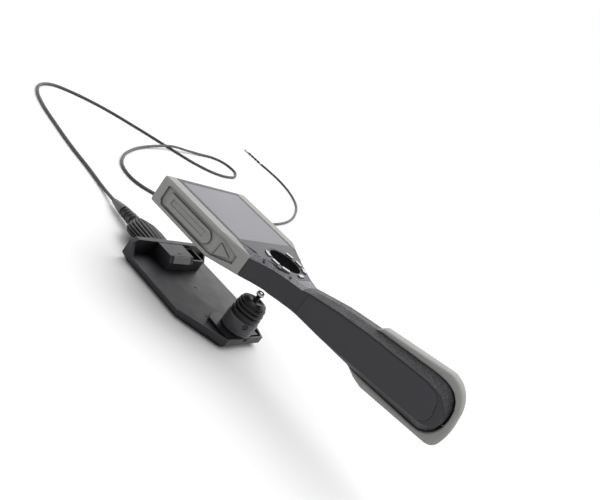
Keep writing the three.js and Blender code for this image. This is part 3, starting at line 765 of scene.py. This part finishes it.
def relief_point(t, a, b, angle):
    """Point on an oval a wide and b high, t millimetres out from the module's end wall."""
    start, end, ahead = exit_line()
    square = Vector((0, 1, 0)) if t < 1 else ahead
    across = Vector((square.y, -square.x, 0)).normalized()
    up = across.cross(square)
    centre = start + ahead * t * MM
    return centre + (across * a * math.cos(angle) + up * b * math.sin(angle)) * MM


def relief_piece(name, steps, sides, shape_at):
    """shape_at(t, angle) gives the oval's half width and half height there."""
    rings = []
    for t in steps:
        ring = []
        for k in range(sides):
            angle = 2 * math.pi * k / sides
            ring.append(relief_point(t, *shape_at(t, angle), angle))
        rings.append(ring)
    return skin_rings(name, rings)


BOOT_WIDTH = [(0, 22), (12, 23.5), (24, 24), (34, 22), (41, 16.5), (46, 9.6)]
BOOT_HEIGHT = [(0, 8.6), (12, 9.8), (24, 10.6), (34, 10.8), (41, 10.2), (46, 9.2)]
BOOT_FLUTES = 22
FLUTE_DEPTH = 3.0


def boot_shape(t, angle):
    fade = min(1.0, t / 2.5, (46 - t) / 3)
    wave = abs(math.sin(angle * BOOT_FLUTES / 2)) ** 0.6
    sunk = FLUTE_DEPTH * max(0.0, fade) * (1 - wave)
    return read_table(BOOT_WIDTH, t) - sunk, read_table(BOOT_HEIGHT, t) - sunk * 0.8


def neck_shape(t, angle):
    """Five rings, with slots between them bridged at two opposite places, turn about."""
    ring, along_ring = divmod(t - NECK_FROM, NECK_PITCH)
    radius = 8.2 - min(ring, 4) * 0.3
    crown = 0.35 * math.sin(math.pi * min(1.0, along_ring / 4.0))
    if along_ring <= 4.0:
        return radius - 0.35 + crown, radius - 0.35 + crown
    bridge = abs(math.sin(angle + ring * math.pi / 2)) > 0.93
    depth = 0.5 if bridge else 2.2
    return radius - depth, radius - depth


def sleeve_shape(t, angle):
    share = (t - SLEEVE_FROM) / (sleeve_length() - SLEEVE_FROM)
    radius = 6.6 - 3.4 * max(0.0, share - 0.08) ** 1.15 / 0.92 ** 1.15
    return radius, radius


def sleeve_length():
    start, end, _ = exit_line()
    return (end - start).length / MM


def strain_relief():
    boot = relief_piece("fluted_boot", [46 * i / 36 for i in range(37)], 264, boot_shape)
    add_piece(boot, "module", "black_rubber", ["boot"])
    steps = []
    for i in range(5):
        steps += [NECK_FROM + NECK_PITCH * i + d for d in (0.0, 0.5, 1.2, 2.0, 2.8, 3.5, 4.0, 4.3, 5.9)]
    neck = relief_piece("slotted_neck", [*steps, SLEEVE_FROM - TUBE_GAP], 72, neck_shape)
    add_piece(neck, "module", "black_rubber", ["boot_neck"])
    length = sleeve_length()
    steps = [SLEEVE_FROM + (length - SLEEVE_FROM) * i / 24 for i in range(25)]
    sleeve = relief_piece("tapered_sleeve", steps, 48, sleeve_shape)
    soften(sleeve, 0.4, 50)
    add_piece(sleeve, "module", "sleeve_plastic", ["sleeve"])


strain_relief()


# ---- joystick: turret, folded bellows, stalk and cap ----
SCREW_TURN = math.radians(232)


def on_stick(x, y, z):
    return floor_point(x + STICK[0], y + STICK[1], z)


BELLOWS_BOTTOM, BELLOWS_TOP = 31.3, 51.6
BELLOWS_R, BELLOWS_NECK_R, BELLOWS_SKIN = 17.3, 5.0, 0.9
FOLDS, FOLD_DEPTH = 5, 3.1
FULLNESS = 2.3
BELLOWS_SIDES, BELLOWS_STEPS, BELLOWS_SPLIT = 96, 90, 40
HALVES_GAP = 0.04
BELLOWS_BORE_R = 3.9


def bellows_ring(t):
    """(radius, height, angle) of points round the bellows, a share t of the way up its uneven folds."""
    ring = []
    body = BELLOWS_NECK_R + (BELLOWS_R - BELLOWS_NECK_R) * (1 - t ** FULLNESS) ** (1 / FULLNESS)
    for k in range(BELLOWS_SIDES):
        angle = 2 * math.pi * k / BELLOWS_SIDES
        lean = 0.1 * math.sin(angle + 1.7 * FOLDS * t)
        fold = (t * FOLDS + lean * (0.3 + t)) % 1.0
        lobe = math.sin(math.pi * fold) ** 0.5
        r = body - FOLD_DEPTH * (1 - lobe) * min(1.0, 5 * t + 0.1) * (1 - 0.4 * t)
        rise = math.sin(t * math.pi / 2) - 0.025 * math.sin(2 * math.pi * fold)
        ring.append((r, BELLOWS_BOTTOM + (BELLOWS_TOP - BELLOWS_BOTTOM) * rise, angle))
    return ring


def bellows_wall(name, outer, lift):
    """Closed wall between the outer rings and the same rings moved in by the skin's thickness."""
    inner = []
    for ring in outer:
        low = ring[0][1] < BELLOWS_BOTTOM + 1
        drop = BELLOWS_SKIN * (0.2 if low else 1.0)
        inner.append([(max(r - BELLOWS_SKIN, BELLOWS_BORE_R), z - drop, a) for r, z, a in ring])
    rings = outer + inner[::-1]
    points = []
    for ring in rings:
        for r, z, a in ring:
            points.append(on_stick(r * math.cos(a), r * math.sin(a), max(z, BELLOWS_BOTTOM) + lift))
    faces = []
    total = len(rings)
    for n in range(total):
        here, there = n * BELLOWS_SIDES, ((n + 1) % total) * BELLOWS_SIDES
        for k in range(BELLOWS_SIDES):
            after = (k + 1) % BELLOWS_SIDES
            faces.append((here + k, here + after, there + after, there + k))
    obj = new_piece(name, points, faces)
    close_mesh(obj)
    return obj


def bellows():
    """Two halves that meet in a fold, baked in place and not attached to any body."""
    outer = [bellows_ring(i / BELLOWS_STEPS) for i in range(BELLOWS_STEPS + 1)]
    lower = bellows_wall("folded_bellows_lower", outer[:BELLOWS_SPLIT + 1], 0.0)
    upper = bellows_wall("folded_bellows_upper", outer[BELLOWS_SPLIT:], HALVES_GAP)
    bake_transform(lower)
    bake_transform(upper)
    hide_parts("bellows")
    for half in (lower, upper):
        UNPAINTED.append((half, "black_rubber"))


def turret():
    profile = [
        (0, 13.8), (16.9, 13.8), (17.6, 14.0), (18, 14.6), (18, 16.5), (17.8, 16.9), (17.8, 17.3), (18, 17.7),
        (18, 28.4), (17.95, 29.6), (17.6, 30.6), (17.0, 31), (15, 31), (15, 19), (0, 19),
    ]
    body = turned("stick_turret", profile, on_stick, 120)
    seat = turned("turret_seat", [(0, 16.6), (3.1, 16.6), (3.1, 19.5), (0, 19.5)], turret_side, 32)
    carve(body, seat)
    soften(body, 0.25)
    return add_piece(body, "module", "satin_black", ["joystick_turret"])


def turret_side(x, y, z):
    """A point drawn upright on the axis, turned to point out through the turret's side."""
    outward = Vector((math.cos(SCREW_TURN), math.sin(SCREW_TURN), 0))
    along = Vector((-outward.y, outward.x, 0))
    return on_stick(0, 0, 26.8) + (outward * z + along * x + Vector((0, 0, y))) * MM


def carve(obj, tool):
    """Cuts the tool out of the object and removes the tool."""
    cutter = obj.modifiers.new("cut", "BOOLEAN")
    cutter.operation = "DIFFERENCE"
    cutter.solver = "EXACT"
    cutter.object = tool
    graph = bpy.context.evaluated_depsgraph_get()
    mesh = bpy.data.meshes.new_from_object(obj.evaluated_get(graph))
    obj.modifiers.clear()
    obj.data = mesh
    bpy.data.objects.remove(tool)
    for polygon in obj.data.polygons:
        polygon.use_smooth = True


def turret_screw():
    profile = [(0, 16.9), (2.3, 16.9), (2.3, 17.5), (2.0, 17.8), (1.3, 17.8), (1.2, 17.2), (0, 17.2)]
    screw = turned("turret_cap_screw", profile, turret_side, 40)
    return add_piece(screw, "module", "dark_steel", ["turret_screw"])


def stick_cap():
    profile = [
        (0, 58.2), (3.1, 58.2), (3.7, 58.4), (3.8, 58.9), (4.3, 59.1), (4.6, 59.6), (4.6, 61.0), (4.4, 61.9),
        (3.9, 62.6), (3.1, 63.2), (2.0, 63.6), (1.0, 63.75), (0, 63.8),
    ]
    button = turned("stick_button", profile, on_stick)
    return add_piece(button, "stick", "key_metal", ["joystick_cap"])


def stick_stalk():
    profile = [
        (0, 21.5), (2.2, 21.9), (3.9, 23.1), (4.8, 24.8), (5, 26.5), (4.7, 28.1), (3.8, 29.8), (2.9, 30.8),
        (2.8, 31.6), (2.8, 50), (3.1, 50.2), (3.1, 51.2), (2.8, 51.4), (2.5, 57.9), (0, 57.9),
    ]
    return add_piece(turned("stick_rod", profile, on_stick), "stick", "black_plastic", ["joystick_stalk"])


turret()
turret_screw()
bellows()
stick_stalk()
stick_cap()


# ---- smooth inlaid panels of the handle ----
PANEL = [
    (-179.68, -2.5), (-213, 4.8), (-250, 10.8), (-316, 17.4), (-334, 15.5, 11), (-341, -7, 12),
    (-332, -14.5, 7), (-254, -21.5), (-216, -24.4), (-179.68, -25.2),
]
PANEL_FACE, PANEL_BACK = 17.12, 15.9


def grip_panels():
    outline = rounded_outline(PANEL)
    for side, name in ((-1, "left"), (1, "right")):
        rings = [[front_point(side * x, p.x, p.y) for p in outline] for x in (PANEL_BACK, PANEL_FACE)]
        panel = skin_rings(f"inlaid_panel_{name}", rings, smooth=False)
        soften(panel, 0.12)
        add_piece(panel, "display", "side_panel", [f"grip_panel_{name}"])


grip_panels()


# ---- screen surround: a dark line printed under the glass edge ----
GLASS_HALF = [(54.4, -2), (54.4, -101), (44, -118), (31.5, -135), (21.5, -150), (13, -160)]
BORDER = 2.0


def inset(outline, d):
    """The outline moved inwards by d, corner by corner; the outline runs clockwise."""
    moved = []
    for i, p in enumerate(outline):
        before = (p - outline[i - 1]).normalized()
        after = (outline[(i + 1) % len(outline)] - p).normalized()
        normal = Vector((before.y, -before.x)) + Vector((after.y, -after.x))
        moved.append(p + normal * (d / (1 + before.dot(after))))
    return moved


def screen_border():
    half = [Vector(p) for p in GLASS_HALF]
    outline = half + [Vector((-p.x, p.y)) for p in reversed(half)]
    outer, inner = inset(outline, 0.05), inset(outline, BORDER)
    rings = []
    for line, z in ((outer, 0.005), (outer, 0.06), (inner, 0.06), (inner, 0.005)):
        rings.append([front_point(p.x, p.y, z) for p in line])
    count = len(outline)
    points = [p for ring in rings for p in ring]
    faces = []
    for r in range(4):
        for i in range(count):
            a, b = r * count + i, r * count + (i + 1) % count
            c, d = ((r + 1) % 4) * count + i, ((r + 1) % 4) * count + (i + 1) % count
            faces.append((a, b, d, c))
    obj = new_piece("screen_border", points, faces, smooth=False)
    close_mesh(obj)
    return add_piece(obj, "display", "gloss_black")


screen_border()


# ---- painting ----
def paint_pieces():
    for obj, material in UNPAINTED:
        obj.data.materials.append(MATERIALS[material])


paint_pieces()
# ---- floor and light ----
FLOOR_REACH = 12.0
FLOOR_GAP = 0.0002
FLOOR_GREY = (216, 216, 216)
KEY_FROM = Vector((0.5, 0.12, 0.85)).normalized()
SKY_LOW, SKY_HIGH = 0.45, 1.7
SUN_SPREAD = 50
SUN_STRENGTH = 1.5


def make_floor():
    corners = [(-FLOOR_REACH, -FLOOR_REACH), (FLOOR_REACH, -FLOOR_REACH), (FLOOR_REACH, FLOOR_REACH),
               (-FLOOR_REACH, FLOOR_REACH)]
    floor = new_piece("floor", [(x, y, -FLOOR_GAP) for x, y in corners], [(0, 1, 2, 3)], smooth=False)
    paint = Paint("floor_paint", linear(*FLOOR_GREY), 0.9, specular=0.1)
    floor.data.materials.append(paint.mottle(2, 0.01).done())


def make_world():
    """A soft sky, brightest towards KEY_FROM; the camera sees plain white behind the floor."""
    world = bpy.data.worlds.new("studio")
    world.use_nodes = True
    tree = world.node_tree
    sky = tree.nodes["Background"]
    towards = tree.nodes.new("ShaderNodeVectorMath")
    towards.operation = "DOT_PRODUCT"
    towards.inputs[1].default_value = KEY_FROM
    tree.links.new(tree.nodes.new("ShaderNodeTexCoord").outputs["Generated"], towards.inputs[0])
    strength = tree.nodes.new("ShaderNodeMapRange")
    strength.interpolation_type = "SMOOTHSTEP"
    for key, value in (("From Min", -0.1), ("From Max", 1.0), ("To Min", SKY_LOW), ("To Max", SKY_HIGH)):
        strength.inputs[key].default_value = value
    tree.links.new(towards.outputs["Value"], strength.inputs["Value"])
    tree.links.new(strength.outputs["Result"], sky.inputs["Strength"])
    white = tree.nodes.new("ShaderNodeBackground")
    either = tree.nodes.new("ShaderNodeMixShader")
    tree.links.new(tree.nodes.new("ShaderNodeLightPath").outputs["Is Camera Ray"], either.inputs[0])
    tree.links.new(sky.outputs[0], either.inputs[1])
    tree.links.new(white.outputs[0], either.inputs[2])
    tree.links.new(either.outputs[0], tree.nodes["World Output"].inputs["Surface"])
    for background in (sky, white):
        background.inputs["Color"].default_value = (1, 1, 1, 1)
    bpy.context.scene.world = world


def make_sun():
    data = bpy.data.lights.new("soft_sun", "SUN")
    data.energy = SUN_STRENGTH
    data.angle = math.radians(SUN_SPREAD)
    light = bpy.data.objects.new("soft_sun", data)
    bpy.context.scene.collection.objects.link(light)
    light.rotation_euler = KEY_FROM.to_track_quat("Z", "Y").to_euler()


make_floor()
make_world()
make_sun()
bpy.context.scene.view_settings.view_transform = "Standard"
